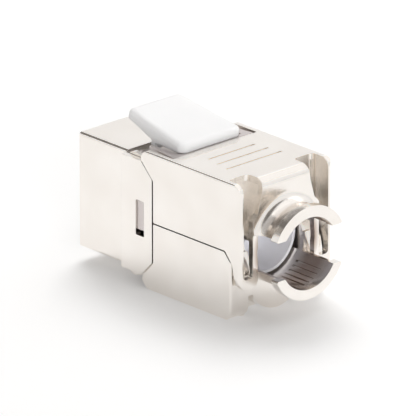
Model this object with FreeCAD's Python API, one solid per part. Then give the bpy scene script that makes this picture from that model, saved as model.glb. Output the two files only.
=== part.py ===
import FreeCAD, Part
import math
import os

# Shielded keystone jack: a square plug end, two hinged wings that close round the cable,
# and a white snap latch on top.
# X runs from the plug face to the cable end, Y is across and Z is up.
# While a piece is built, x is counted from the plug face and z from the underside of the
# lower wing. The finished pieces are moved so that the origin is under the middle.

# Plug end: the square box that passes through the panel
shell_width = 14.6
shell_height = 16.0
shell_length = 9.3
shell_wall = 0.9
shell_edge = 0.4
face_wall = 1.0

# Body behind the panel
body_width = 16.5
shell_lift = 1.85
wing_rise = 1.3
wing_wall = 0.85
parting_rise = 7.7
parting_gap = 0.18

# Cheek plates beside the hinges
cheek_thickness = 0.8
cheek_length = 5.9
cheek_chamfer = 2.1
cheek_drop = 0.2
shoulder_depth = 0.45
shoulder_drop = 0.55
slot_start = 2.8
slot_length = 1.6
slot_height = 4.9
slot_rise = 5.3
slot_corner = 0.2

# Hinges
hinge_back = 1.7
upper_hinge_drop = 0.9
lower_hinge_rise = 0.3
knuckle_radius = 1.2
ear_thickness = 0.62
ear_reach = 3.6
ear_fall = 1.05
pin_radius = 0.5
pin_sink = 0.4

# Wing plates
wing_gap = 0.25
roof_start = 9.15
floor_start = 7.3
wing_rear = 22.65
wing_corner = 1.3
wing_edge = 0.6
lower_back = 0.85
lower_corner = 1.5
lower_edge = 0.3
rear_wall = 0.8
sill_low = 1.5
sill_high = 3.3
strip_bottom = 4.25
foot_bottom = 2.7
foot_radius = 1.6
leg_radius = 1.1
leg_width = 0.85
lip_width = 0.75
window_width = 1.65
window_bottom = 4.2
pocket_length = 3.05
pocket_wall = 0.8
pocket_fall = 0.8
pocket_corner = 0.7
saddle_flare = 1.95
saddle_bulge = 0.45
saddle_bend = 4.0
saddle_drop = 2.2
saddle_foot = 2.6
saddle_wall = 0.8
rib_width = 0.35
rib_depth = 0.2
rib_start = 12.1
rib_pitch = 2.13
rib_margin = 3.25
rib_step = 0.4

# Cable entry
cable_drop = 0.7
entry_gap = 0.1
clamp_step = 0.15
entry_wall = 0.35
neck_wall = 0.6
neck_fillet = 1.7
neck_cut = 2.8
trough_cut = 2.5
trough_length = 3.3
collar_length = 1.2
upper_collar = 1.55
lower_collar = 1.4
collar_tip = 0.45
neck_length = 4.45
boss_inset = 0.2
boss_recess = 1.7
boss_round = 1.2
boss_gap = 0.35
groove_first = 8.0
groove_step = 9.0
groove_count = 5
groove_width = 0.28
groove_depth = 0.12
groove_length = 4.3
groove_ramp = 0.9
hook_overlap = 0.6
hook_reach = 1.7
hook_wall = 0.7
hook_room = 0.15
bead_height = 0.35
bead_low = 0.05
bead_high = 2.95

# Inner frame
frame_wall = 0.7
frame_floor = 0.15
frame_top_drop = 0.55
frame_end = 8.9
post_back = 2.5
post_inset = 1.55
lug_length = 1.5
lug_height = 4.1
lug_sink = 0.25
deck_start = 3.2
deck_drop = 0.1
deck_front_inset = 1.15
deck_rear_inset = 0.35
latch_room = 0.2

# Snap latch
latch_inset = 2.7
latch_spread = 0.85
latch_nose_reach = 3.0
latch_nose_rise = 3.1
latch_top_rise = 4.5
latch_end_rise = 2.45
latch_lean = 0.2
latch_rim = 0.75
latch_nose_corner = 1.0
latch_end_corner = 1.1
latch_end_gap = 0.3
latch_foot_back = 6.3
latch_foot_length = 0.7
latch_rib_radius = 0.5
latch_rib_back = 0.55
latch_rib_drop = 0.35
latch_sweep = 1.2
stem_half = 0.36
mouth_room = 0.1
seat_wall = 0.5
seat_cut = 0.35

# Plug port
port_side = 1.35
port_rise = 5.2
port_drop = 3.9
key_width = 6.6
key_depth = 1.6
tab_width = 4.2
tab_depth = 1.3
port_reach = 3.1
insert_gap = 0.1
insert_reach = 3.9
insert_roof = 0.5
insert_rail = 0.77

# Contacts
contact_count = 8
contact_pitch = 1.02
contact_width = 0.45
contact_thickness = 0.3
contact_front = 3.9
contact_bend = 0.75
contact_tip_gap = 1.8
contact_dip = 3.4
comb_lead = 0.5
comb_length = 3.6
comb_below = 0.65

# Circuit board
board_reach = 5.0
board_thickness = 1.0
board_gap = 0.1
tail_length = 0.8
hole_clearance = 0.12

# Insulation-piercing terminals
row_count = 4
row_margin = 1.52
row_inset = 3.15
fork_width = 1.5
fork_slit = 0.36
fork_thickness = 0.4
fork_length = 5.6
slit_length = 2.6
block_length = 5.0
block_window = 1.5
bay_depth = 2.4
bay_wall = 0.8
bay_width = 1.9
bay_height = 2.6

# Wire manager
manager_gap = 0.3
manager_back = 1.1
manager_inset = 0.6
manager_edge = 1.2
manager_wall = 1.2
sleeve_wall = 0.4
sleeve_gap = 0.3
sleeve_back = 2.55
wire_slot = 1.25
wire_depth = 1.8
wire_half = 1.6
wire_rise = 2.4
wire_break = 0.2

# Shield springs in the plug port
spring_thickness = 0.2
spring_height = 4.0
spring_start = 2.6
spring_end_gap = 0.2
spring_bow = 0.45
spring_crest = 1.0

# General clearances
running = 0.05
small_gap = 0.08
over = 1.0

# Places worked out from the sizes above
shell_half = shell_width / 2
body_half = body_width / 2
shell_bottom = shell_lift
shell_top = shell_lift + shell_height
wing_top = shell_top + wing_rise
cheek_end = shell_length + cheek_length
cheek_inner = body_half - cheek_thickness
cheek_top = shell_top - cheek_drop
wing_inner = body_half - wing_wall
hinge_x = shell_length + hinge_back
upper_hinge = shell_top - upper_hinge_drop
lower_hinge = shell_bottom + lower_hinge_rise
ear_outer = cheek_inner - small_gap
ear_inner = ear_outer - ear_thickness
frame_half = ear_inner - small_gap
frame_inner = frame_half - frame_wall
frame_start = shell_length + shoulder_depth
frame_bottom = shell_bottom + frame_floor
frame_top = shell_top - frame_top_drop
frame_rear = shell_length + frame_end
parting = shell_bottom + parting_rise
wing_front = cheek_end + wing_gap
rear_face = shell_length + wing_rear
rear_inner = rear_face - rear_wall
lower_face = rear_inner - lower_back
leg_inner = body_half - lip_width - window_width - leg_width
saddle_half = leg_inner + leg_width - saddle_flare
rib_half = wing_inner - rib_margin
cable_z = shell_bottom + shell_height / 2 - cable_drop
pocket_low = cable_z + saddle_foot - pocket_fall
cable_rear = rear_face + neck_length
entry_radius = leg_inner + entry_gap
clamp_radius = entry_radius - clamp_step
boss_radius = leg_inner - boss_inset
sleeve_radius = entry_radius - sleeve_gap - sleeve_wall
sleeve_end = rear_inner - sleeve_back
deck_front_half = cheek_inner - deck_front_inset
deck_rear_half = wing_inner - deck_rear_inset
latch_half = shell_half - latch_inset
latch_nose = shell_length - latch_nose_reach
latch_end = frame_rear - latch_end_gap
latch_foot = latch_end - latch_foot_back
collar_start = cable_rear - collar_length
port_width = shell_width - 2 * port_side
port_top = shell_top - port_drop
port_bottom = shell_bottom + port_rise
port_centre = (port_top + port_bottom) / 2
port_depth = shell_length + port_reach
insert_top = shell_top - shell_wall - insert_gap
insert_end = shell_length + insert_reach
wire_room = insert_top - insert_roof - port_top
wire_room_half = frame_inner - insert_gap - insert_rail
contact_run = port_top + wire_room / 2
contact_tip = port_depth - contact_tip_gap
comb_start = shell_length - comb_lead
spring_end = shell_length - spring_end_gap
board_low = frame_bottom + frame_wall + board_gap
board_high = frame_top - frame_wall - board_gap
board_half = frame_inner - board_gap
board_start = shell_length + board_reach
board_rear = board_start + board_thickness
block_start = board_rear + tail_length + 0.1
block_end = block_start + block_length
manager_start = block_end + manager_gap
manager_end = lower_face - trough_length - manager_back
row_high = board_high - row_inset
row_low = 2 * cable_z - row_high
centre_x = cable_rear / 2


def point(axis, level, a, b):
    """Point of a section: a and b are x and z, y and z or x and y, by the axis it faces."""
    if axis == "x":
        return FreeCAD.Vector(level, a, b)
    if axis == "y":
        return FreeCAD.Vector(a, level, b)
    return FreeCAD.Vector(a, b, level)


def prism(axis, corners, low, high):
    """Solid with a closed outline, each corner (a, b, radius), between two levels."""
    count = len(corners)
    starts = []
    middles = []
    ends = []
    for i in range(count):
        a, b, radius = corners[i]
        here = FreeCAD.Vector(a, b, 0)
        back = FreeCAD.Vector(corners[i - 1][0], corners[i - 1][1], 0) - here
        after = corners[(i + 1) % count]
        ahead = FreeCAD.Vector(after[0], after[1], 0) - here
        back.normalize()
        ahead.normalize()
        half = back.getAngle(ahead) / 2
        bisector = back + ahead
        if radius > 0 and bisector.Length > 1e-6:
            bisector.normalize()
            centre = here + bisector * (radius / math.sin(half))
            starts.append(here + back * (radius / math.tan(half)))
            ends.append(here + ahead * (radius / math.tan(half)))
            middles.append(centre - bisector * radius)
        else:
            starts.append(here)
            ends.append(here)
            middles.append(None)
    edges = []
    for i in range(count):
        start = point(axis, low, starts[i].x, starts[i].y)
        end = point(axis, low, ends[i].x, ends[i].y)
        if middles[i] is not None:
            middle = point(axis, low, middles[i].x, middles[i].y)
            edges.append(Part.Arc(start, middle, end).toShape())
        following = starts[(i + 1) % count]
        next_start = point(axis, low, following.x, following.y)
        if end.distanceToPoint(next_start) > 1e-6:
            edges.append(Part.LineSegment(end, next_start).toShape())
    face = Part.Face(Part.Wire(edges))
    return face.extrude(point(axis, high - low, 0, 0))


def block(x0, x1, y0, y1, z0, z1):
    """Rectangular block between two corners."""
    return Part.makeBox(x1 - x0, y1 - y0, z1 - z0, FreeCAD.Vector(x0, y0, z0))


def slab(x0, x1, half, z0, z1):
    """Rectangular block centred across the jack."""
    return block(x0, x1, -half, half, z0, z1)


def rod(axis, a, b, radius, low, high):
    """Cylinder along an axis, between two levels."""
    return Part.makeCylinder(radius, high - low, point(axis, low, a, b), point(axis, 1, 0, 0))


def mirrored(shape):
    """The same shape on the other side of the jack."""
    return shape.mirror(FreeCAD.Vector(0, 0, 0), FreeCAD.Vector(0, 1, 0))


def both_sides(shape):
    """The shape and its mirror image."""
    return [shape, mirrored(shape)]


def joined(shapes):
    """All the shapes fused into one clean solid."""
    first = shapes[0]
    return first.fuse(shapes[1:]).removeSplitter()


def cut_away(shape, tools):
    """The shape with all the tools taken away."""
    return shape.cut(tools).removeSplitter()


def stepped_port(x0, x1):
    """Space for a modular plug: the body, the key step and the tab step under it."""
    half = port_width / 2
    key_half = key_width / 2
    tab_half = tab_width / 2
    key_bottom = port_bottom - key_depth
    tab_bottom = key_bottom - tab_depth
    right = [(half, port_top, 0), (half, port_bottom, 0), (key_half, port_bottom, 0)]
    right += [(key_half, key_bottom, 0), (tab_half, key_bottom, 0), (tab_half, tab_bottom, 0)]
    left = [(-a, b, radius) for a, b, radius in reversed(right)]
    return prism("x", right + left, x0, x1)


def cheek():
    """Flat plate beside the hinges, with its rear corners cut off and a slot for the lug."""
    corners = [(shell_length, cheek_top, 0.15)]
    corners += [(cheek_end - cheek_chamfer, cheek_top, 0.3)]
    corners += [(cheek_end, cheek_top - cheek_chamfer, 0.3)]
    corners += [(cheek_end, shell_bottom + cheek_chamfer, 0.3)]
    corners += [(cheek_end - cheek_chamfer, shell_bottom, 0.3)]
    corners += [(shell_length, shell_bottom, 0.5)]
    plate = prism("y", corners, -body_half, -cheek_inner)
    slot_x = shell_length + slot_start
    slot_z = shell_bottom + slot_rise
    slot = [(slot_x, slot_z, slot_corner), (slot_x + slot_length, slot_z, slot_corner)]
    slot += [(slot_x + slot_length, slot_z + slot_height, slot_corner),
             (slot_x, slot_z + slot_height, slot_corner)]
    window = prism("y", slot, -body_half - over, -cheek_inner + over)
    seats = []
    for height in (upper_hinge, lower_hinge):
        deep = -cheek_inner - pin_sink
        seats.append(rod("y", hinge_x, height, pin_radius + running, deep, -cheek_inner + over))
    return cut_away(plate, [window] + seats)


def front_shell():
    """Die-cast plug end: a square tube, its shoulder and the two cheek plates."""
    half = shell_half
    tube = prism("x", [(-half, shell_bottom, shell_edge), (half, shell_bottom, shell_edge),
                       (half, shell_top, shell_edge), (-half, shell_top, shell_edge)],
                 0, shell_length + shoulder_depth)
    front_edges = [edge for edge in tube.Edges if edge.BoundBox.XMax < 1e-6]
    tube = tube.makeChamfer(shell_edge / 2, front_edges)
    shoulder_top = shell_top - shoulder_drop
    shoulder = slab(shell_length, shell_length + shoulder_depth, body_half, shell_bottom, shoulder_top)
    trim = slab(shell_length, shell_length + over, body_half + over, shoulder_top, shell_top + over)
    tube = tube.cut(trim)
    lip = [(shell_length - 2.2, shell_bottom, 0), (shell_length - 0.4, shell_bottom - 1.1, 0.25),
           (shell_length, shell_bottom - 1.1, 0.1), (shell_length, shell_bottom + 0.2, 0),
           (shell_length - 2.2, shell_bottom + 0.2, 0)]
    lower_lip = prism("y", lip, -4.6, 4.6)
    inner_half = half - shell_wall
    cavity = slab(face_wall, shell_length, inner_half, shell_bottom + shell_wall, shell_top - shell_wall)
    passage = slab(shell_length - over, frame_start + over, frame_inner,
                   shell_bottom + shell_wall, frame_top - frame_wall)
    solid = joined([tube, shoulder, lower_lip] + both_sides(cheek()))
    return cut_away(solid, [cavity, passage, stepped_port(-over, face_wall + over)])


def ear_outline(height, side):
    """Hinge ear from the knuckle back to the wing: two rounds joined by straight flanks."""
    far_x = hinge_x + ear_reach
    far_z = height - side * ear_fall
    angle = math.atan2(far_z - height, ear_reach)
    length = math.hypot(ear_reach, ear_fall)
    ux = math.cos(angle)
    uz = math.sin(angle)
    radius = knuckle_radius
    corners = []
    for along, across in ((-radius, -radius), (length + radius, -radius),
                          (length + radius, radius), (-radius, radius)):
        x = hinge_x + along * ux - across * uz
        z = height + along * uz + across * ux
        corners.append((x, z, radius * 0.999))
    return corners


def ears(height, side, wing_side):
    """Both hinge ears of a wing, fused to its side walls behind the cheeks."""
    outline = ear_outline(height, side)
    thin = prism("y", outline, -ear_outer, -ear_inner)
    root = prism("y", outline, -body_half, -ear_inner).common(wing_side)
    bore = rod("y", hinge_x, height, pin_radius + running, -body_half, -ear_inner + over)
    ear = joined([thin, root]).cut(bore)
    return both_sides(ear)


def saddle_outline(inset, low, high):
    """Section between the two rear pockets: narrow at the top, flaring out to the legs."""
    leg = leg_inner + leg_width - inset
    top = saddle_half - inset
    right = [(leg, low, 0), (leg, cable_z + saddle_foot, saddle_bend)]
    right += [(top + saddle_bulge, wing_top - saddle_drop, saddle_bend)]
    right += [(top, high, 0)]
    left = [(-a, b, radius) for a, b, radius in reversed(right)]
    return right + left


def upper_side_outline():
    """Side view of the upper wing, from the cheek to the rear wall and its feet."""
    chamfer = cheek_chamfer + wing_gap * 0.6
    tip = cheek_end - cheek_chamfer + wing_gap * 0.2
    foot = shell_bottom + foot_bottom
    strip = shell_bottom + strip_bottom
    seam = parting + parting_gap / 2
    step = lower_face + parting_gap
    lean = 0.48
    rise = 2.0
    brow = cheek_top + wing_gap * 0.6
    corners = [(tip, wing_top, (wing_top - brow) * 0.8), (rear_face, wing_top, wing_corner)]
    corners += [(rear_face, foot, 0)]
    corners += [(rear_inner, foot, 0), (rear_inner, strip, 0.1), (step + lean, strip, 0.2)]
    corners += [(step, strip + rise, 0.2), (step - cheek_chamfer * 0.62, seam, 0.25)]
    corners += [(wing_front, seam, 0.2), (wing_front, cheek_top - chamfer, 0.25)]
    corners += [(tip, brow, 0.1)]
    return corners


def plan_view(rear, radius):
    """Space over the whole plan of a wing, with its two rear corners rounded."""
    corners = [(0, -body_half, 0), (rear, -body_half, radius), (rear, body_half, radius), (0, body_half, 0)]
    return prism("z", corners, -over, wing_top + over)


def pocket(side):
    """Open slot between the saddle and the outer lip, down to the foot."""
    sill = shell_bottom + window_bottom
    edge = body_half - lip_width
    edge_limit = edge - 1e-3
    inner = [(a, b, radius) for a, b, radius in saddle_outline(0, sill, wing_top + over)[:4]]
    outline = [(edge, wing_top + over, 0), (edge, sill, 0.5), (inner[0][0], sill, 0.5)]
    outline += inner[1:]
    start = rear_face - pocket_length
    tool = prism("x", outline, start, rear_face + over)
    front = [edge for edge in tool.Edges if edge.BoundBox.XMax < start + 1e-6]
    inner_edges = [edge for edge in front if edge.BoundBox.YMax < edge_limit and edge.BoundBox.ZMin > sill + 1e-6]
    tool = tool.makeFillet(pocket_corner, inner_edges)
    return tool if side > 0 else mirrored(tool)


def tip_space(ring, cut, side):
    """Space of a half collar from the parting up or down, with rounded corners at its tips."""
    half = math.sqrt(ring ** 2 - cut ** 2)
    low = cable_z + side * cut
    high = cable_z + side * (ring + over)
    corners = [(-half, low, collar_tip), (half, low, collar_tip), (half, high, 0), (-half, high, 0)]
    return prism("x", corners, 0, cable_rear + over)


def neck():
    """Half-round neck that flows out of the saddle, and the collar at its end."""
    outer = entry_radius + neck_wall
    flare = outer + neck_fillet
    start = point("y", 0, rear_inner, 0)
    bend = rear_face + neck_fillet
    corner = neck_fillet * (1 - math.sqrt(0.5))
    section = [FreeCAD.Vector(rear_inner, 0, cable_z + entry_radius - over)]
    section += [FreeCAD.Vector(cable_rear, 0, cable_z + entry_radius - over)]
    section += [FreeCAD.Vector(cable_rear, 0, cable_z + outer), FreeCAD.Vector(bend, 0, cable_z + outer)]
    edges = [Part.LineSegment(section[i], section[i + 1]).toShape() for i in range(3)]
    middle = FreeCAD.Vector(rear_face + corner, 0, cable_z + outer + corner)
    top = FreeCAD.Vector(rear_face, 0, cable_z + flare)
    edges.append(Part.Arc(section[3], middle, top).toShape())
    back = FreeCAD.Vector(start.x, 0, cable_z + flare)
    edges.append(Part.LineSegment(top, back).toShape())
    edges.append(Part.LineSegment(back, section[0]).toShape())
    turned = Part.Face(Part.Wire(edges)).revolve(FreeCAD.Vector(0, 0, cable_z), FreeCAD.Vector(1, 0, 0), 360)
    keep = prism("x", saddle_outline(0, cable_z + neck_cut, wing_top), rear_inner, cable_rear)
    ring = clamp_radius + upper_collar
    end = rod("x", 0, cable_z, ring, collar_start, cable_rear)
    return joined([turned.common(keep), end.common(tip_space(ring, neck_cut, 1))])


def upper_wing():
    """Upper wing: roof, side walls, rear wall with its pockets, saddle, neck and half collar."""
    side = prism("y", upper_side_outline(), -body_half, body_half)
    foot = shell_bottom + foot_bottom
    edge = 0.2
    end_view = [(-body_half, foot, foot_radius), (body_half, foot, foot_radius),
                (body_half, wing_top, edge), (-body_half, wing_top, edge)]
    solid = side.common(prism("x", end_view, 0, cable_rear)).common(plan_view(rear_face, wing_edge))
    roof_x = shell_length + roof_start
    hollow = slab(0, rear_inner, wing_inner, 0, wing_top - wing_wall)
    front_cut = slab(0, roof_x, wing_inner, 0, wing_top + over)
    gap = [(leg_inner, cable_z + neck_cut, 0), (leg_inner, foot, leg_radius)]
    gap += [(leg_inner + leg_radius + 0.1, foot, 0), (leg_inner + leg_radius + 0.1, foot - over, 0)]
    gap += [(-a, b, radius) for a, b, radius in reversed(gap)]
    passage = prism("x", gap, rear_inner - over, rear_face + over)
    passage_top = rod("x", 0, cable_z, entry_radius, rear_inner - over, rear_face + over)
    solid = solid.cut([hollow, front_cut, passage, passage_top])
    pockets = [pocket(1), pocket(-1)]
    solid = solid.cut(pockets)
    back = rear_face - pocket_length
    low = pocket_low
    walls = slab(back - pocket_wall, back, wing_inner, low, wing_top - wing_wall / 2)
    flanks = prism("x", saddle_outline(0, low, wing_top - wing_wall / 2), back - pocket_wall, rear_inner)
    room = prism("x", saddle_outline(saddle_wall, low - over, wing_top - wing_wall),
                 back - pocket_wall - over, rear_inner)
    saddle = joined([walls, flanks]).cut([room])
    bore = rod("x", 0, cable_z, entry_radius, rear_inner - over, collar_start)
    clamp = rod("x", 0, cable_z, clamp_radius, collar_start - over, cable_rear + over)
    throat = neck().cut([bore, clamp])
    wing_side = prism("y", upper_side_outline(), -body_half, body_half)
    solid = joined([solid, saddle, throat] + ears(upper_hinge, 1, wing_side))
    ribs = []
    for i in range(3):
        x = shell_length + rib_start + i * rib_pitch
        half = rib_half + i * rib_step
        ribs.append(slab(x, x + rib_width, half, wing_top - rib_depth, wing_top + over))
    return cut_away(solid, ribs)


def lower_side_outline():
    """Side view of the lower wing, with its front corner under the cheek."""
    seam = parting - parting_gap / 2
    tip = cheek_end - cheek_chamfer
    corners = [(wing_front, seam, 0.2), (wing_front, shell_bottom + cheek_chamfer, 0.25)]
    corners += [(tip + 0.05, shell_bottom - 0.5, 0.5), (tip + 1.2, 0, 0.9)]
    corners += [(lower_face, 0, lower_corner), (lower_face, shell_bottom + strip_bottom + 2.0, 0.2)]
    corners += [(lower_face - cheek_chamfer * 0.62, seam, 0.25)]
    return corners


def hook(side):
    """Snap arm beside the cable entry, curved about the hinge, with a bead at mid-height."""
    low = shell_bottom + 1.0
    outer = leg_inner + hook_reach
    swing = math.hypot(rear_inner - hinge_x, foot_bottom - lower_hinge_rise) - running
    bend = swing - bead_height
    bead_start = shell_bottom + window_bottom + bead_low
    top = pocket_low - hook_room
    plate = [(leg_inner - hook_overlap, low, 0), (outer, low, 0), (outer, top, 0.5),
             (leg_inner - hook_overlap, top, 0.3)]
    arm = prism("x", plate, frame_rear, rear_face)
    ring = rod("y", hinge_x, lower_hinge, bend, 0, body_half)
    ring = ring.cut(rod("y", hinge_x, lower_hinge, bend - hook_wall, -over, body_half + over))
    head = [(leg_inner, bead_start, 0.3), (outer - 0.3, bead_start, 0.4),
            (outer - 0.3, bead_start + bead_high, 0.5), (leg_inner, bead_start + bead_high, 0.3)]
    bead = prism("x", head, frame_rear, rear_face)
    ridge = rod("y", hinge_x, lower_hinge, swing, 0, body_half)
    ridge = ridge.cut(rod("y", hinge_x, lower_hinge, bend - 0.1, -over, body_half + over))
    behind = block(lower_face - post_back + small_gap, lower_face, 0, body_half, 0, wing_top)
    whole = joined([arm.common(ring).common(behind), bead.common(ridge)])
    return whole if side > 0 else mirrored(whole)


def lower_wing():
    """Lower wing: floor, side walls, rear wall with its boss, snap arms, trough and half collar."""
    side = prism("y", lower_side_outline(), -body_half, body_half)
    edge = 0.3
    end_view = [(-body_half, 0, edge), (body_half, 0, edge),
                (body_half, wing_top, 0), (-body_half, wing_top, 0)]
    solid = side.common(prism("x", end_view, 0, cable_rear)).common(plan_view(lower_face, lower_edge))
    inner = lower_face - rear_wall
    hollow = slab(0, inner, wing_inner, wing_wall, wing_top)
    floor_x = shell_length + floor_start
    front_cut = slab(0, floor_x, wing_inner, -over, wing_top)
    strip_low = shell_bottom + sill_low
    strip_high = shell_bottom + sill_high
    sill = [(-wing_inner, strip_high, 0.1), (-leg_inner - 0.9, strip_low, 1.5)]
    sill += [(leg_inner + 0.9, strip_low, 1.5), (wing_inner, strip_high, 0.1)]
    sill += [(wing_inner, wing_top, 0), (-wing_inner, wing_top, 0)]
    above = prism("x", sill, inner - over, lower_face + over)
    recess_half = boss_radius + boss_gap
    recess_x = lower_face - boss_recess
    bottom = recess_x - boss_round - 0.1
    outline = [(recess_x, wing_top, 0), (recess_x, 0, boss_round), (bottom, 0, 0), (bottom, -over, 0)]
    outline += [(lower_face + over, -over, 0), (lower_face + over, wing_top, 0)]
    recess = prism("y", outline, -recess_half, recess_half)
    pan = slab(recess_x - rear_wall, inner + 0.05, recess_half + wing_wall * 0.7, 0, strip_low)
    solid = joined([solid.cut([hollow, front_cut, above]), pan]).cut(recess)
    boss_z = boss_radius + 0.05
    boss = rod("x", 0, boss_z, boss_radius, recess_x - 0.2, lower_face)
    rim = cable_z - trough_cut
    outer = entry_radius + entry_wall
    trough_x = lower_face - trough_length
    tube = rod("x", 0, cable_z, outer, trough_x, cable_rear)
    ring = clamp_radius + lower_collar
    collar = rod("x", 0, cable_z, ring, collar_start, cable_rear).common(tip_space(ring, trough_cut, -1))
    entry = joined([tube, boss]).common(slab(0, cable_rear + over, body_half, 0, rim))
    bore = rod("x", 0, cable_z, entry_radius, 0, collar_start)
    clamp = rod("x", 0, cable_z, clamp_radius, collar_start - over, cable_rear + over)
    wing_side = prism("y", lower_side_outline(), -body_half, body_half)
    parts = [solid, entry, collar, hook(1), hook(-1)]
    solid = joined(parts + ears(lower_hinge, -1, wing_side))
    grooves = []
    groove_x = collar_start - 0.5
    for i in range(groove_count):
        for sign in (1, -1):
            angle = math.radians(sign * (groove_first + i * groove_step))
            y = entry_radius * math.sin(angle)
            z = cable_z - entry_radius * math.cos(angle)
            profile = [(groove_x - groove_length, -groove_depth, 0), (groove_x, -groove_depth, 0),
                       (groove_x, 0.2, 0), (groove_x - groove_length - groove_ramp, 0.2, 0)]
            cutter = prism("y", profile, -groove_width / 2, groove_width / 2)
            cutter.rotate(FreeCAD.Vector(0, 0, 0), FreeCAD.Vector(1, 0, 0), math.degrees(angle))
            cutter.translate(FreeCAD.Vector(0, y, z))
            grooves.append(cutter)
    return cut_away(solid, [bore, clamp] + grooves)


def deck_outline(front, rear, grow):
    """Plan of the raised deck under the latch, wider at the rear."""
    return [(front, -deck_front_half - grow, 0.3), (rear, -deck_rear_half - grow, 0.2),
            (rear, deck_rear_half + grow, 0.2), (front, deck_front_half + grow, 0.3)]


def inner_frame():
    """Cast frame behind the plug end: a short box, the latch deck, side lugs and two posts."""
    tube = slab(frame_start, frame_rear, frame_half, frame_bottom, frame_top)
    hollow = slab(frame_start - over, frame_rear + over, frame_inner,
                  frame_bottom + frame_wall, frame_top - frame_wall)
    deck_x = shell_length + deck_start
    deck_z = wing_top - deck_drop
    deck = prism("z", deck_outline(deck_x, frame_rear, 0), frame_top - 0.05, deck_z)
    rib_x = latch_end - latch_rib_back
    rib_z = deck_z - latch_rib_drop
    room_end = rib_x - latch_rib_radius - seat_wall
    room_half = latch_half + latch_spread + latch_room
    room = slab(deck_x - over, room_end, room_half, frame_top, deck_z + over)
    seat_half = latch_half + latch_room
    seat = rod("y", rib_x, rib_z, latch_rib_radius + running, -seat_half, seat_half)
    mouth = slab(rib_x - stem_half - mouth_room, rib_x + stem_half + mouth_room, seat_half,
                 rib_z, deck_z + over)
    entry = slab(room_end - over, rib_x, room_half, deck_z - seat_cut, deck_z + over)
    posts = []
    for side in both_sides(block(frame_rear - over, lower_face - post_back, frame_inner, frame_half,
                                 frame_bottom + post_inset, frame_top - post_inset)):
        posts.append(side)
    lug_x = shell_length + slot_start + (slot_length - lug_length) / 2
    lug_top = shell_bottom + slot_rise + slot_height - small_gap
    lug = prism("y", [(lug_x, lug_top - lug_height, 0), (lug_x + lug_length, lug_top - lug_height, 0),
                      (lug_x + lug_length, lug_top, 0), (lug_x, lug_top, 0)],
                frame_inner + 0.1, body_half - lug_sink)
    bosses = []
    bores = []
    for height in (upper_hinge, lower_hinge):
        bosses += both_sides(rod("y", hinge_x, height, pin_radius + 0.45, frame_inner, frame_half))
        bores += both_sides(rod("y", hinge_x, height, pin_radius + 0.01, frame_inner - over, frame_half + over))
    solid = cut_away(tube, [hollow])
    solid = joined([solid, deck] + posts + both_sides(lug) + bosses)
    return cut_away(solid, [room, seat, mouth, entry] + bores)


def keystone_latch():
    """Moulded snap latch: a raised nose, a finger pad, a foot and the rib it pivots on."""
    deck_z = wing_top - deck_drop
    under = deck_z + small_gap
    nose_low = shell_top + latch_nose_rise
    foot_low = under - latch_sweep + 0.25
    foot_end = latch_foot + latch_foot_length
    corners = [(latch_nose - over, nose_low, 0), (latch_nose - over, wing_top + shell_height, 0)]
    corners += [(frame_rear, wing_top + shell_height, 0), (frame_rear, under, 0), (foot_end, under, 0.2)]
    corners += [(foot_end, foot_low, 0.15), (latch_foot, foot_low, 0.15), (latch_foot, under + 0.3, 0.3)]
    corners += [(latch_nose + 0.7, nose_low, 0.4)]
    half = latch_half + latch_spread
    drop = latch_top_rise - latch_end_rise
    length = math.hypot(latch_end - latch_nose, drop)
    plan = [(0, -latch_half, latch_nose_corner), (length, -half, latch_end_corner),
            (length, half, latch_end_corner), (0, latch_half, latch_nose_corner)]
    pad = prism("z", plan, -shell_height / 2, 0)
    top = max(pad.Faces, key=lambda face: face.CenterOfMass.z)
    pad = pad.makeFillet(latch_rim, top.Edges)
    tilt = math.degrees(math.atan2(drop, latch_end - latch_nose))
    pad.rotate(FreeCAD.Vector(0, 0, 0), FreeCAD.Vector(0, 1, 0), tilt)
    pad.translate(FreeCAD.Vector(latch_nose + latch_lean, 0, shell_top + latch_top_rise))
    pad = pad.common(prism("y", corners, -half, half))
    rib_x = latch_end - latch_rib_back
    rib_z = deck_z - latch_rib_drop
    rib = rod("y", rib_x, rib_z, latch_rib_radius, -latch_half, latch_half)
    stem = slab(rib_x - stem_half, rib_x + stem_half, latch_half, rib_z, under + 0.1)
    return joined([pad, rib, stem])


def port_insert():
    """Plastic liner of the plug port, with room above it for the contact wires."""
    low = shell_bottom + shell_wall + insert_gap
    front = slab(face_wall + insert_gap, shell_length, shell_half - shell_wall - insert_gap, low, insert_top)
    low_rear = frame_bottom + frame_wall + insert_gap
    high_rear = frame_top - frame_wall - insert_gap
    rear_half = frame_inner - insert_gap
    rear = slab(shell_length - 0.1, insert_end, rear_half, max(low, low_rear), min(insert_top, high_rear))
    channel = slab(contact_front - contact_bend - 0.6, insert_end + over, wire_room_half,
                   port_top - over, port_top + wire_room)
    springs = []
    side_room = port_width / 2 - 0.1
    for side in both_sides(block(spring_start - spring_end_gap, spring_end + spring_end_gap, side_room,
                                 shell_half, port_centre - spring_height / 2 - 0.1,
                                 port_centre + spring_height / 2 + 0.1)):
        springs.append(side)
    tools = [stepped_port(0, port_depth), channel] + springs
    return cut_away(joined([front, rear]), tools)


def contact(index):
    """Spring wire: a pin through the board, a run forward, and a bend back into the port."""
    y = (index - (contact_count - 1) / 2) * contact_pitch
    thick = contact_thickness
    top = contact_run + thick / 2
    low = contact_run - thick / 2
    tail = board_rear + tail_length
    front = contact_front - contact_bend
    fall = math.atan2(contact_dip, contact_tip - front)
    inside = front + thick / math.tan(fall / 2)
    tip = top - contact_dip
    corners = [(tail, low, 0), (tail, top, 0), (front, top, thick), (contact_tip, tip, 0)]
    corners += [(contact_tip + thick * math.sin(fall), tip + thick * math.cos(fall), 0), (inside, low, 0)]
    return prism("y", corners, y - contact_width / 2, y + contact_width / 2)


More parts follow.
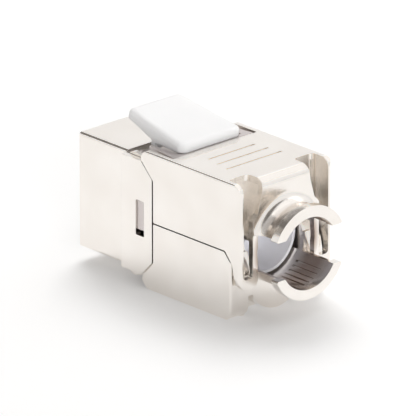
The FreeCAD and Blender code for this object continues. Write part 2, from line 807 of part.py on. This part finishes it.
def contact_comb():
    """Comb across the contact wires that keeps them apart, seated in the liner."""
    low = contact_run - comb_below
    high = port_top + wire_room - small_gap
    body = slab(comb_start, comb_start + comb_length, wire_room_half - small_gap, low, high)
    slots = []
    for i in range(contact_count):
        y = (i - (contact_count - 1) / 2) * contact_pitch
        half = contact_width / 2 + small_gap
        slots.append(block(comb_start - over, comb_start + comb_length + over, y - half, y + half,
                           low - over, contact_run + contact_thickness / 2 + small_gap))
    return cut_away(body, slots)


def fork_places():
    """Centres of the eight terminals: four above and four below the middle."""
    places = []
    pitch = 2 * (board_half - row_margin) / (row_count - 1)
    for z in (row_high, row_low):
        for i in range(row_count):
            places.append(((i - (row_count - 1) / 2) * pitch, z))
    return places


def circuit_board():
    """Board between the contacts and the terminals, with a hole for every pin."""
    board = slab(board_start, board_rear, board_half, board_low, board_high)
    holes = []
    for i in range(contact_count):
        y = (i - (contact_count - 1) / 2) * contact_pitch
        across = contact_width / 2 + hole_clearance
        tall = contact_thickness / 2 + hole_clearance
        holes.append(block(board_start - over, board_rear + over, y - across, y + across,
                           contact_run - tall, contact_run + tall))
    reach = fork_thickness / 2 + hole_clearance
    for y, z in fork_places():
        holes.append(block(board_start - over, board_rear + over, y - reach, y + reach,
                           z - reach, z + reach))
    return cut_away(board, holes)


def terminal_block():
    """Housing of the eight terminals, with an open bay for the wire over each one."""
    high = row_high + bay_height / 2 + bay_wall
    low = row_low - bay_height / 2 - bay_wall
    body = slab(block_start, block_end, board_half, low, high)
    across = fork_width / 2 + small_gap
    tall = fork_thickness / 2 + small_gap
    tools = []
    for y, z in fork_places():
        tools.append(block(block_start - over, block_end - bay_depth + over, y - across, y + across,
                           z - tall, z + tall))
        tools.append(block(block_end - bay_depth, block_end + over, y - bay_width / 2, y + bay_width / 2,
                           z - bay_height / 2, z + bay_height / 2))
    window = slab(block_start - over, block_end + over, board_half - manager_wall,
                  cable_z - block_window, cable_z + block_window)
    return cut_away(body, tools + [window])


def terminal(index):
    """Two-pronged blade: a pin through the board, and a slit that grips the wire."""
    y, z = fork_places()[index]
    half = fork_width / 2
    pin = fork_thickness / 2
    end = board_rear + fork_length
    start = board_rear + board_gap
    tail = board_start - tail_length / 2
    slit = fork_slit / 2
    corners = [(tail, -pin, 0), (start, -pin, 0), (start, -half, 0), (end, -half, 0)]
    corners += [(end, -slit - 0.2, 0), (end - 0.4, -slit, 0), (end - slit_length, -slit, 0)]
    corners += [(end - slit_length, slit, 0), (end - 0.4, slit, 0), (end, slit + 0.2, 0)]
    corners += [(end, half, 0), (start, half, 0), (start, pin, 0), (tail, pin, 0)]
    placed = [(a, y + b, radius) for a, b, radius in corners]
    return prism("z", placed, z - fork_thickness / 2, z + fork_thickness / 2)


def wire_manager():
    """Cap that carries the wires, with the round sleeve that the cable comes in through."""
    half = board_half
    high = row_high + bay_height / 2 + bay_wall - manager_inset
    low = 2 * cable_z - high
    edge = manager_edge
    corners = [(-half, low, edge), (half, low, edge), (half, high, edge), (-half, high, edge)]
    cap = prism("x", corners, manager_start, manager_end)
    floor_end = manager_start + manager_wall
    sleeve = rod("x", 0, cable_z, sleeve_radius + sleeve_wall, manager_end - 0.1, sleeve_end)
    bore = rod("x", 0, cable_z, sleeve_radius, floor_end, sleeve_end + over)
    centre = slab(manager_start - over, floor_end + over, wire_half, cable_z - wire_rise, cable_z + wire_rise)
    slots = []
    inner_end = min(row_high - cable_z, sleeve_radius - wire_break)
    for y, z in fork_places():
        side = 1 if z > cable_z else -1
        ends = sorted([cable_z + side * inner_end, cable_z + side * (high - cable_z + over)])
        slots.append(block(manager_start - over, manager_start + wire_depth, y - wire_slot / 2,
                           y + wire_slot / 2, ends[0], ends[1]))
    return cut_away(joined([cap, sleeve]), [bore, centre] + slots)


def hinge_pin(height, side):
    """Short steel pin from the frame wall, through the ear, into the cheek."""
    low = frame_inner
    high = cheek_inner + pin_sink - small_gap
    pin = rod("y", hinge_x, height, pin_radius, low, high)
    return pin if side > 0 else mirrored(pin)


def shield_spring(side):
    """Bowed strip in the side of the port that touches the plug's metal shell."""
    outer = shell_half - shell_wall - insert_gap
    low = port_centre - spring_height / 2
    high = port_centre + spring_height / 2
    end = spring_end
    middle = (spring_start + end) / 2
    crest = outer - spring_bow
    t = spring_thickness
    near = middle - spring_crest
    far = middle + spring_crest
    corners = [(spring_start, outer - t, 0), (near, crest - t, 1.0), (far, crest - t, 1.0)]
    corners += [(end, outer - t, 0), (end, outer, 0), (far, crest, 1.2)]
    corners += [(near, crest, 1.2), (spring_start, outer, 0)]
    strip = prism("z", corners, low, high)
    return strip if side > 0 else mirrored(strip)


def save(name, shape):
    """Moves a piece to the final origin and writes it."""
    placed = shape.copy()
    placed.translate(FreeCAD.Vector(-centre_x, 0, 0))
    placed.exportStep("parts/" + name + ".step")


os.makedirs("parts", exist_ok=True)
save("front_shell", front_shell())
save("inner_frame", inner_frame())
save("keystone_latch", keystone_latch())
save("upper_wing", upper_wing())
save("lower_wing", lower_wing())
save("port_insert", port_insert())
save("contact_comb", contact_comb())
save("circuit_board", circuit_board())
save("terminal_block", terminal_block())
save("wire_manager", wire_manager())
for i in range(contact_count):
    save("contact_" + str(i + 1), contact(i))
for i in range(2 * row_count):
    save("terminal_" + str(i + 1), terminal(i))
for side, word in ((1, "left"), (-1, "right")):
    save("hinge_pin_upper_" + word, hinge_pin(upper_hinge, side))
    save("hinge_pin_lower_" + word, hinge_pin(lower_hinge, side))
    save("shield_spring_" + word, shield_spring(side))
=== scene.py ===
import math

import bpy
import numpy as np
from mathutils import Matrix

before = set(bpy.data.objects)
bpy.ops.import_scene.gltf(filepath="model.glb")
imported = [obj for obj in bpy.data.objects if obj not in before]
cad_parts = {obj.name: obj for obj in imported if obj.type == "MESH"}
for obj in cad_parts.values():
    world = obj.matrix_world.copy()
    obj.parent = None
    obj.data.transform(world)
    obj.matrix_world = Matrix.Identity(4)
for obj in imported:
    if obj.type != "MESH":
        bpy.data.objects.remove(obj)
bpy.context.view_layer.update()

# Plug end and the two wings: zinc die castings with a satin nickel plate, hinged so that
# they close round the cable. The plate rounds every edge a little and leaves the cast grain
# to be seen. In the cable entry its colour turns browner and darker: painted shade and a
# painted reflection of the entry's dark walls.
MM = 0.001
CABLE_MIDDLE = (0.0145, 0.0, 0.00915)  # in metres, as the material reads places
PAINTED_SHADE_FULL_WITHIN = 5.2  # mm from there
PAINTED_SHADE_GONE_AT = 6.0
CLOUD_SIZE = 6.0
SATIN_SIZE = 0.9
GRIT_SIZE = 0.16  # the real cast grain is about 0.05 mm, too fine to show here
PEEL_STRENGTH = 0.22
PEEL_DEPTH = 0.02
GRAIN_STRENGTH = 0.5
GRAIN_DEPTH = 0.01
BEVEL_SAMPLES = 6
# How far the roughness goes from its middle. No finish crosses 0.27, because the denoiser
# treats metal or plastic above that as matt and below it as a mirror, and it would blotch.
PLATE_SPREAD = 0.03
NOISE_SPAN = {"From Min": 0.3, "From Max": 0.7}  # holds nearly all values of a noise


def linear(colour):
    """Turns an sRGB hex colour into linear red, green, blue and an alpha of 1."""
    parts = [int(colour[i:i + 2], 16) / 255 for i in (1, 3, 5)]
    return [p / 12.92 if p <= 0.04045 else ((p + 0.055) / 1.055) ** 2.4 for p in parts] + [1.0]


def per_mm(size):
    """Texture scale that makes one pattern cell this many millimetres wide."""
    return 1 / (size * MM)


def add(tree, kind, inputs=None, **settings):
    """Adds one node: inputs are values or (node, output) pairs, settings are its properties."""
    new = tree.nodes.new("ShaderNode" + kind)
    for name, value in settings.items():
        setattr(new, name, value)
    for name, value in (inputs or {}).items():
        if isinstance(value, tuple) and isinstance(value[0], bpy.types.Node):
            tree.links.new(value[0].outputs[value[1]], new.inputs[name])
        else:
            new.inputs[name].default_value = value
    return new


def material(name):
    """An empty node material with its tree and output node."""
    made = bpy.data.materials.new(name)
    made.use_nodes = True
    made.node_tree.nodes.clear()
    return made, made.node_tree, add(made.node_tree, "OutputMaterial")


def cast_nickel(name, light, dark, painted_shade_tone, rough, edge):
    """Nickel plate on a zinc casting: a cloud between two tones, softened reflections, a fine
    grain, and a painted shade, a browner and darker third tone, in the cable entry.
    """
    made, tree, out = material(name)
    place = add(tree, "TexCoord")
    cloud = add(tree, "TexNoise", {"Vector": (place, "Object"), "Scale": per_mm(CLOUD_SIZE),
                                   "Detail": 3.0})
    tone = add(tree, "MapRange", {"Value": (cloud, "Fac"), **NOISE_SPAN})
    plain = add(tree, "MixRGB", {"Fac": (tone, "Result"), "Color1": linear(dark),
                                 "Color2": linear(light)})
    # Painted shade and painted reflection: near the middle of the cable entry the colour turns to
    # a browner, darker tone.
    from_middle = add(tree, "VectorMath", {0: (place, "Object"), 1: CABLE_MIDDLE},
                      operation="DISTANCE")
    painted_shade_share = add(tree, "MapRange", {"Value": (from_middle, "Value"),
                                    "From Min": PAINTED_SHADE_FULL_WITHIN * MM, "From Max": PAINTED_SHADE_GONE_AT * MM,
                                    "To Min": 1.0, "To Max": 0.0})
    colour = add(tree, "MixRGB", {"Fac": (painted_shade_share, "Result"), "Color1": (plain, "Color"),
                                  "Color2": linear(painted_shade_tone)})
    satin = add(tree, "TexNoise", {"Vector": (place, "Object"), "Scale": per_mm(SATIN_SIZE),
                                   "Detail": 4.0})
    shine = add(tree, "MapRange", {"Value": (satin, "Fac"), **NOISE_SPAN,
                                   "To Min": rough - PLATE_SPREAD,
                                   "To Max": rough + PLATE_SPREAD})
    round_edge = add(tree, "Bevel", {"Radius": edge * MM}, samples=BEVEL_SAMPLES)
    peel = add(tree, "Bump", {"Strength": PEEL_STRENGTH, "Distance": PEEL_DEPTH * MM,
                              "Height": (satin, "Fac"), "Normal": (round_edge, "Normal")})
    grit = add(tree, "TexNoise", {"Vector": (place, "Object"), "Scale": per_mm(GRIT_SIZE),
                                  "Detail": 2.0})
    grain = add(tree, "Bump", {"Strength": GRAIN_STRENGTH, "Distance": GRAIN_DEPTH * MM,
                               "Height": (grit, "Fac"), "Normal": (peel, "Normal")})
    metal = add(tree, "BsdfPrincipled", {"Base Color": (colour, "Color"), "Metallic": 1.0,
                                         "Roughness": (shine, "Result"),
                                         "Normal": (grain, "Normal")})
    tree.links.new(metal.outputs["BSDF"], out.inputs["Surface"])
    return made


def finish_with(made, *names):
    """Gives these solids the finish."""
    for name in names:
        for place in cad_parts[name].material_slots:
            place.material = made


# The third colour is the painted shade for the cable entry.
plate = cast_nickel("satin_nickel_on_zinc_casting", "#F7F3EE", "#F1ECE6", "#B7A598",
                    rough=0.2, edge=0.05)
finish_with(plate, "front_shell", "upper_wing", "lower_wing")

# Inner frame: the zinc casting behind the plug end, which holds the board, the block and the
# hinge pins. It is nickel plated too, but not polished first, so it is dull. Its darker grey
# is painted shade, for where it sits deep in the slots and under the latch.
dull_plate = cast_nickel("dull_nickel_with_painted_shade", "#DCD5D3", "#D2CBC9", "#A3938A",
                         rough=0.4, edge=0.08)
finish_with(dull_plate, "inner_frame")

# Hinge pins: four short turned steel pins, each pressed through the frame's wall and the
# cheek, on which a wing's ear turns. Their ends carry fine lathe rings that the eye reads as
# a dull, even grey.
RINGS_SIZE = 0.3  # real rings are under 0.05 mm apart, too fine to show here
PIN_SMOOTHEST = 0.3
PIN_ROUGHEST = 0.42
pin_steel, pin_tree, pin_out = material("turned_steel")
pin_place = add(pin_tree, "TexCoord")
pin_rings = add(pin_tree, "TexNoise", {"Vector": (pin_place, "Object"),
                                       "Scale": per_mm(RINGS_SIZE)})
pin_shine = add(pin_tree, "MapRange", {"Value": (pin_rings, "Fac"),
                                       "To Min": PIN_SMOOTHEST, "To Max": PIN_ROUGHEST})
pin_metal = add(pin_tree, "BsdfPrincipled", {"Base Color": linear("#C9C7C3"), "Metallic": 1.0,
                                             "Roughness": (pin_shine, "Result")})
pin_tree.links.new(pin_metal.outputs["BSDF"], pin_out.inputs["Surface"])
finish_with(pin_steel, "hinge_pin_upper_left", "hinge_pin_upper_right",
            "hinge_pin_lower_left", "hinge_pin_lower_right")

# Snap latch: white polycarbonate, moulded in one piece and snapped on to the frame's deck.
# Its skin is smooth and light goes a little way in, so its rounded rims are soft and bright
# and its shaded side stays pale.
PLASTIC_IOR = 1.5
PLASTIC_CLOUD_SIZE = 5.0
PLASTIC_SPREAD = 0.04
MOULD_EDGE = 0.1  # mm, radius that the mould leaves on every edge
MOULD_RELIEF = 0.2
LIGHT_GOES_IN = 2.0  # mm


def moulded(name, colour, second, rough, grain, depth, inner=0.0):
    """Injection-moulded plastic: a faint cloud between two tones, and the mould's own grain,
    whose width and depth are in mm. Inner is the share of the light that goes into it.
    """
    made, tree, out = material(name)
    place = add(tree, "TexCoord")
    cloud = add(tree, "TexNoise", {"Vector": (place, "Object"), "Detail": 2.0,
                                   "Scale": per_mm(PLASTIC_CLOUD_SIZE)})
    tone = add(tree, "MixRGB", {"Fac": (cloud, "Fac"), "Color1": linear(colour),
                                "Color2": linear(second)})
    skin = add(tree, "TexNoise", {"Vector": (place, "Object"), "Detail": 3.0,
                                  "Scale": per_mm(grain)})
    shine = add(tree, "MapRange", {"Value": (skin, "Fac"), **NOISE_SPAN,
                                   "To Min": rough - PLASTIC_SPREAD,
                                   "To Max": rough + PLASTIC_SPREAD})
    round_edge = add(tree, "Bevel", {"Radius": MOULD_EDGE * MM}, samples=BEVEL_SAMPLES)
    relief = add(tree, "Bump", {"Strength": MOULD_RELIEF, "Distance": depth * MM,
                                "Height": (skin, "Fac"), "Normal": (round_edge, "Normal")})
    body = add(tree, "BsdfPrincipled", {"Base Color": (tone, "Color"), "IOR": PLASTIC_IOR,
                                        "Roughness": (shine, "Result"),
                                        "Normal": (relief, "Normal"),
                                        "Subsurface Weight": inner,
                                        "Subsurface Radius": [1.0, 1.0, 1.0],
                                        "Subsurface Scale": LIGHT_GOES_IN * MM})
    tree.links.new(body.outputs["BSDF"], out.inputs["Surface"])
    return made


latch_white = moulded("smooth_white_polycarbonate", "#F7F7F8", "#F3F4F5",
                      rough=0.35, grain=0.5, depth=0.002, inner=0.6)
finish_with(latch_white, "keystone_latch")

# Port liner: the black insert behind the port's window, polyester with glass fibre, moulded
# and slid in from behind. The mould's fine spark-eroded texture makes it a matt, deep black.
SPARK_PITS = 0.12  # real pits are about 0.03 mm wide, too fine to show here
liner_black = moulded("fine_black_polyester", "#1B1B1D", "#232325",
                      rough=0.5, grain=SPARK_PITS, depth=0.02)
finish_with(liner_black, "port_insert")

# Contact comb and terminal block: moulded in ivory and in white polycarbonate. The comb sits
# in the liner and keeps the eight contact wires apart, and the block holds the terminals
# behind the board. Neither mould is polished, so both have a dull, even sheen.
comb_ivory = moulded("ivory_polycarbonate", "#E9E4D6", "#E2DCCD",
                     rough=0.42, grain=0.3, depth=0.01)
finish_with(comb_ivory, "contact_comb")
block_white = moulded("white_polycarbonate", "#ECECEA", "#E4E4E2",
                      rough=0.42, grain=0.3, depth=0.01)
finish_with(block_white, "terminal_block")

# Wire manager: the pale grey polycarbonate cap behind the block, moulded with the sleeve
# that the cable enters. The mould is polished so that wires slide in, and it shows as a
# glossy grey ring between the wings.
cap_grey = moulded("polished_grey_polycarbonate", "#F3F3F7", "#ECECF1",
                   rough=0.2, grain=0.8, depth=0.005)
finish_with(cap_grey, "wire_manager")

# Circuit board: glass-epoxy laminate under green solder mask, standing across the frame
# between comb and block. The glass cloth's threads show through as a faint unevenness.
THREAD_SPACING = 0.25
board_green = moulded("green_solder_mask", "#14502B", "#0F4524",
                      rough=0.33, grain=THREAD_SPACING, depth=0.01)
finish_with(board_green, "circuit_board")

# Contacts, terminals and shield springs: bronze strip, stamped and bent, gold plated where
# the plug touches, tin plated at the wires and nickel plated on the springs. Each is bright
# metal with faint marks of rolling along it.
ROLLED_ALONG = (0.1, 1.0, 1.0)  # makes the marks ten times as long along X as across
ROLLING_SIZE = 0.08  # real marks are about 0.01 mm wide, too fine to show here
SMOOTHER = 0.04
ROUGHER = 0.06


def plated_strip(name, colour, rough):
    """Stamped and plated strip: one metal tone, whose gloss follows the marks of rolling."""
    made, tree, out = material(name)
    place = add(tree, "TexCoord")
    along = add(tree, "Mapping", {"Vector": (place, "Object"), "Scale": ROLLED_ALONG})
    lines = add(tree, "TexNoise", {"Vector": (along, "Vector"), "Scale": per_mm(ROLLING_SIZE),
                                   "Detail": 3.0})
    shine = add(tree, "MapRange", {"Value": (lines, "Fac"), "To Min": rough - SMOOTHER,
                                   "To Max": rough + ROUGHER})
    metal = add(tree, "BsdfPrincipled", {"Base Color": linear(colour), "Metallic": 1.0,
                                         "Roughness": (shine, "Result")})
    tree.links.new(metal.outputs["BSDF"], out.inputs["Surface"])
    return made


finish_with(plated_strip("gold_plated_bronze", "#E3BE6A", rough=0.19),
            *["contact_" + str(i) for i in range(1, 9)])
finish_with(plated_strip("tin_plated_bronze", "#CFCDC8", rough=0.34),
            *["terminal_" + str(i) for i in range(1, 9)])
finish_with(plated_strip("nickel_plated_bronze", "#D9D5CE", rough=0.33),
            "shield_spring_left", "shield_spring_right")

# Studio: a plain white sheet under the jack, which keeps its soft shadow, and a low white
# wall all round it, so that the metal mirrors white near the horizon and grey above.
ROOM_RADIUS = 2.2
ROOM_SIDES = 48
WALL_RISE = math.radians(30)
PAPER = "#F2F2F2"
around = np.linspace(0, 2 * math.pi, ROOM_SIDES, endpoint=False)
ring = np.stack([ROOM_RADIUS * np.cos(around), ROOM_RADIUS * np.sin(around), 0 * around], axis=1)
top_ring = ring + [0, 0, ROOM_RADIUS * math.tan(WALL_RISE)]
steps = [(i, (i + 1) % ROOM_SIDES) for i in range(ROOM_SIDES)]
wall_faces = [(b, a, a + ROOM_SIDES, b + ROOM_SIDES) for a, b in steps]


def staged(name, points, faces, glow):
    """A plain sheet of the studio, which glows a little to the camera and in reflections."""
    mesh = bpy.data.meshes.new(name)
    mesh.from_pydata([tuple(p) for p in points], [], faces)
    sheet = bpy.data.objects.new(name, mesh)
    bpy.context.scene.collection.objects.link(sheet)
    made, tree, out = material(name + "_paper")
    paper = add(tree, "BsdfDiffuse", {"Color": linear(PAPER)})
    rays = add(tree, "LightPath")
    seen = add(tree, "Math", {0: (rays, "Is Camera Ray"), 1: (rays, "Is Glossy Ray")},
               operation="MAXIMUM")
    seen = add(tree, "Math", {0: (seen, "Value"), 1: (rays, "Is Transmission Ray")},
               operation="MAXIMUM")
    lift = add(tree, "Math", {0: (seen, "Value"), 1: glow}, operation="MULTIPLY")
    light = add(tree, "Emission", {"Color": linear("#FFFFFF"), "Strength": (lift, "Value")})
    both = add(tree, "AddShader", {0: (paper, "BSDF"), 1: (light, "Emission")})
    tree.links.new(both.outputs["Shader"], out.inputs["Surface"])
    mesh.materials.append(made)


staged("floor", ring, [tuple(range(ROOM_SIDES))], glow=0.17)
staged("wall", np.concatenate([ring, top_ring]), wall_faces, glow=0.78)

# Light: a plain grey room and four soft lamps. The large one above is what the top of the
# metal mirrors. The key behind gives the shadow and the low one at the right lifts the pale
# plastics, and the metal mirrors neither. The sky lamp in front is only there to be mirrored.
ROOM_STRENGTH = 0.22
LAMP_AIM = (0, 0, 0.01)
room = bpy.data.worlds.new("grey_room")
bpy.context.scene.world = room
room.use_nodes = True
room_tree = room.node_tree
room_tree.nodes.clear()
room_light = add(room_tree, "Background", {"Color": linear("#E6DFD9"),
                                           "Strength": ROOM_STRENGTH})
room_out = add(room_tree, "OutputWorld")
room_tree.links.new(room_light.outputs["Background"], room_out.inputs["Surface"])


def standing(right, up, back, place):
    """Matrix that stands a lamp or camera at a place: it looks against back, with up above."""
    return Matrix([[right[i], up[i], back[i], place[i]] for i in range(3)] + [[0, 0, 0, 1]])


def soft_lamp(name, place, size, power, mirrored=True, lighting=True):
    """A square lamp that faces the jack, in metres and watts."""
    lamp = bpy.data.lights.new(name, "AREA")
    lamp.shape = "SQUARE"
    lamp.size = size
    lamp.energy = power
    holder = bpy.data.objects.new(name, lamp)
    bpy.context.scene.collection.objects.link(holder)
    away = np.array(place, float) - np.array(LAMP_AIM, float)
    away /= np.linalg.norm(away)
    side = np.cross((0, 0, 1), away)
    side /= np.linalg.norm(side)
    holder.matrix_world = standing(side, np.cross(away, side), away, place)
    holder.visible_glossy = mirrored
    holder.visible_diffuse = lighting


soft_lamp("lamp_above", (0.0, 0.3, 0.55), size=1.0, power=2.8)
soft_lamp("lamp_key", (-0.25, 0.2, 0.45), size=0.3, power=1.45, mirrored=False)
soft_lamp("lamp_sky", (0.16, -0.38, 0.55), size=0.7, power=0.55, lighting=False)
soft_lamp("lamp_right", (0.5, -0.25, 0.06), size=0.3, power=2.9, mirrored=False)

# Camera: a very long lens, turned and raised as in the photograph. It looks at a point near
# the jack's middle, and is moved a little right and down, so that the jack sits as it does there.
CAMERA_TURN = math.radians(47.14)
CAMERA_RISE = math.radians(20.93)
CAMERA_REACH = 1.445
CAMERA_LENS = 957.3
SENSOR_WIDTH = 36.0
NEAREST = 0.1
FURTHEST = 20.0
MOVE_RIGHT = 1.415
MOVE_DOWN = 0.36
aim = np.array([-3.2, 0.0, 9.85]) * MM
back = np.array([math.sin(CAMERA_TURN) * math.cos(CAMERA_RISE),
                 -math.cos(CAMERA_TURN) * math.cos(CAMERA_RISE), math.sin(CAMERA_RISE)])
right = np.array([math.cos(CAMERA_TURN), math.sin(CAMERA_TURN), 0.0])
up = np.cross(back, right)
spot = aim + (MOVE_RIGHT * right - MOVE_DOWN * up) * MM + back * CAMERA_REACH
camera_data = bpy.data.cameras.new("camera")
camera_data.lens = CAMERA_LENS
camera_data.sensor_width = SENSOR_WIDTH
camera_data.clip_start = NEAREST
camera_data.clip_end = FURTHEST
camera = bpy.data.objects.new("camera", camera_data)
bpy.context.scene.collection.objects.link(camera)
camera.matrix_world = standing(right, up, back, spot)
bpy.context.scene.camera = camera
bpy.context.scene.view_settings.view_transform = "Standard"
